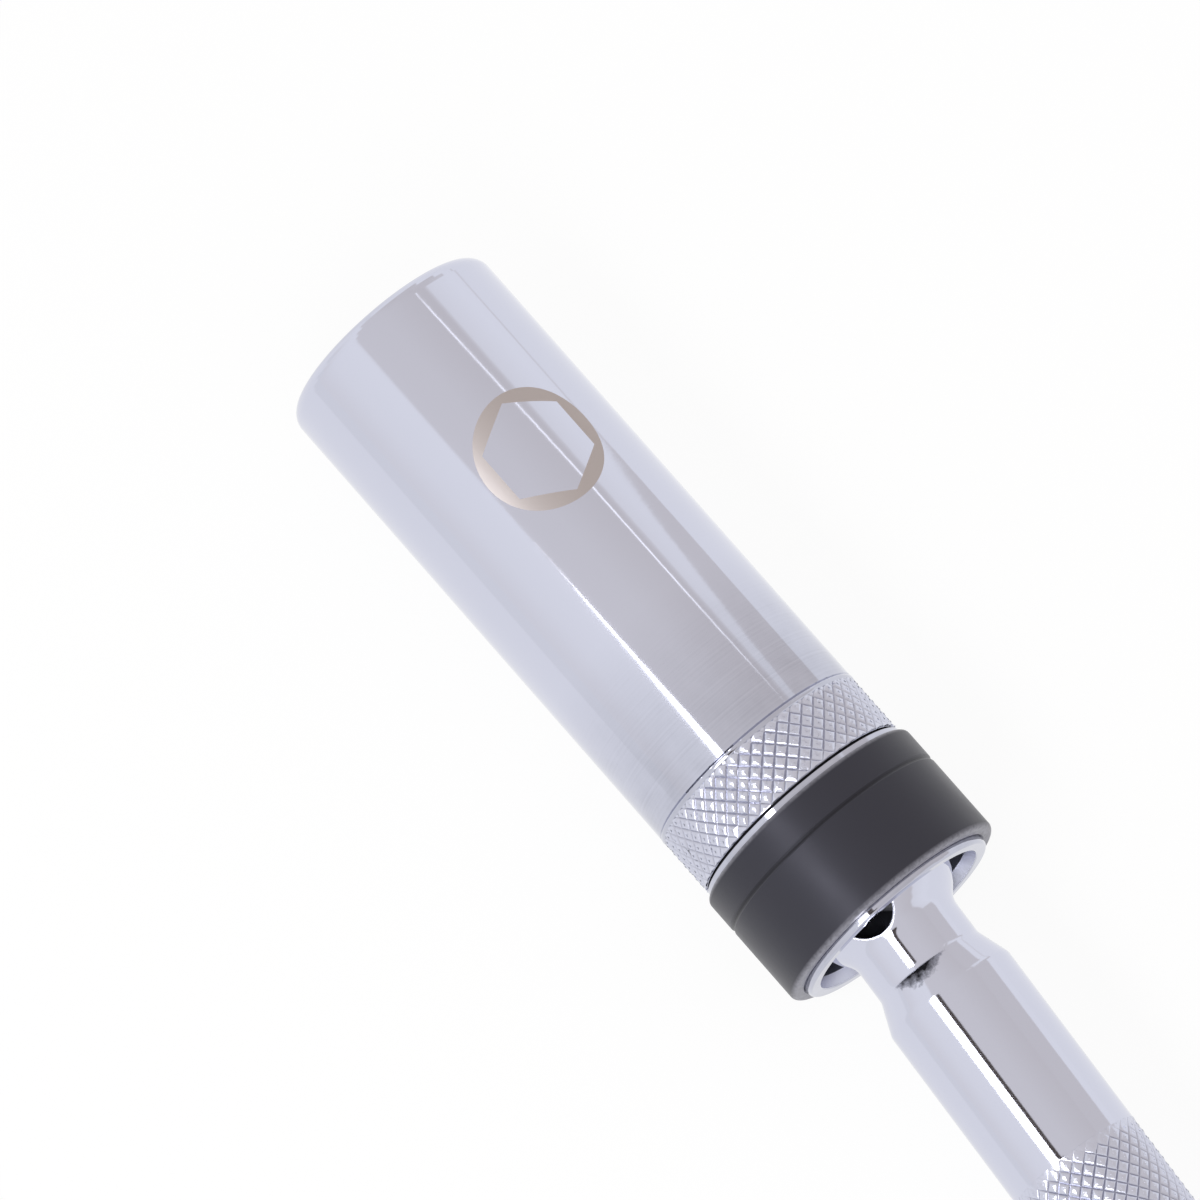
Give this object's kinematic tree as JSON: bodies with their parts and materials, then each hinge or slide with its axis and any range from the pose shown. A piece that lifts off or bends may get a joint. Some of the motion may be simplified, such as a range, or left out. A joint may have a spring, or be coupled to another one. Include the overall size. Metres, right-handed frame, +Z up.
{
  "type": "magnetic swivel spark plug socket",
  "caption": "Magnetic spark plug socket with a six-point recess, black collar, captive universal joint and drive bar with a female square.",
  "frame": {"origin": "centre of the mouth face of the socket, on its axis", "axes": "+X along the ground below the socket's axis, from its mouth towards the drive bar, +Z up with the tool lying on its side on mouth, collar and drive head"},
  "size_m": [0.1528, 0.027, 0.023],
  "materials": {
    "bright_chrome": "polished, with fine brush marks",
    "black_collar": "satin black, rubbed paler at the edges",
    "nickel_plate": "dull nickel plate",
    "spring_steel": "dark spring steel",
    "ground_steel": "ground",
    "dark_steel": "unpolished, oiled"
  },
  "bodies": {
    "socket": {"socket_body": "bright_chrome", "magnet_ring": "nickel_plate", "magnet_clip": "spring_steel", "collar": "black_collar", "socket_pin_upper": "ground_steel", "socket_pin_lower": "ground_steel"},
    "block": {"joint_block": "dark_steel"},
    "bar": {"drive_bar": "bright_chrome", "fork_pin": "ground_steel"}
  },
  "joints": [
    {"name": "socket_pin_swing", "type": "hinge", "parent": "socket", "child": "block", "pos_m": [0.0653, 0, 0.00061], "axis": [-0.0085, -0.421, 0.907], "range_deg": [-15.42, 24.58]},
    {"name": "fork_pin_swing", "type": "hinge", "parent": "block", "child": "bar", "pos_m": [0.0653, 0, 0.00061], "axis": [0.0759, 0.9042, 0.4204], "range_deg": [-20, 20]}
  ]
}
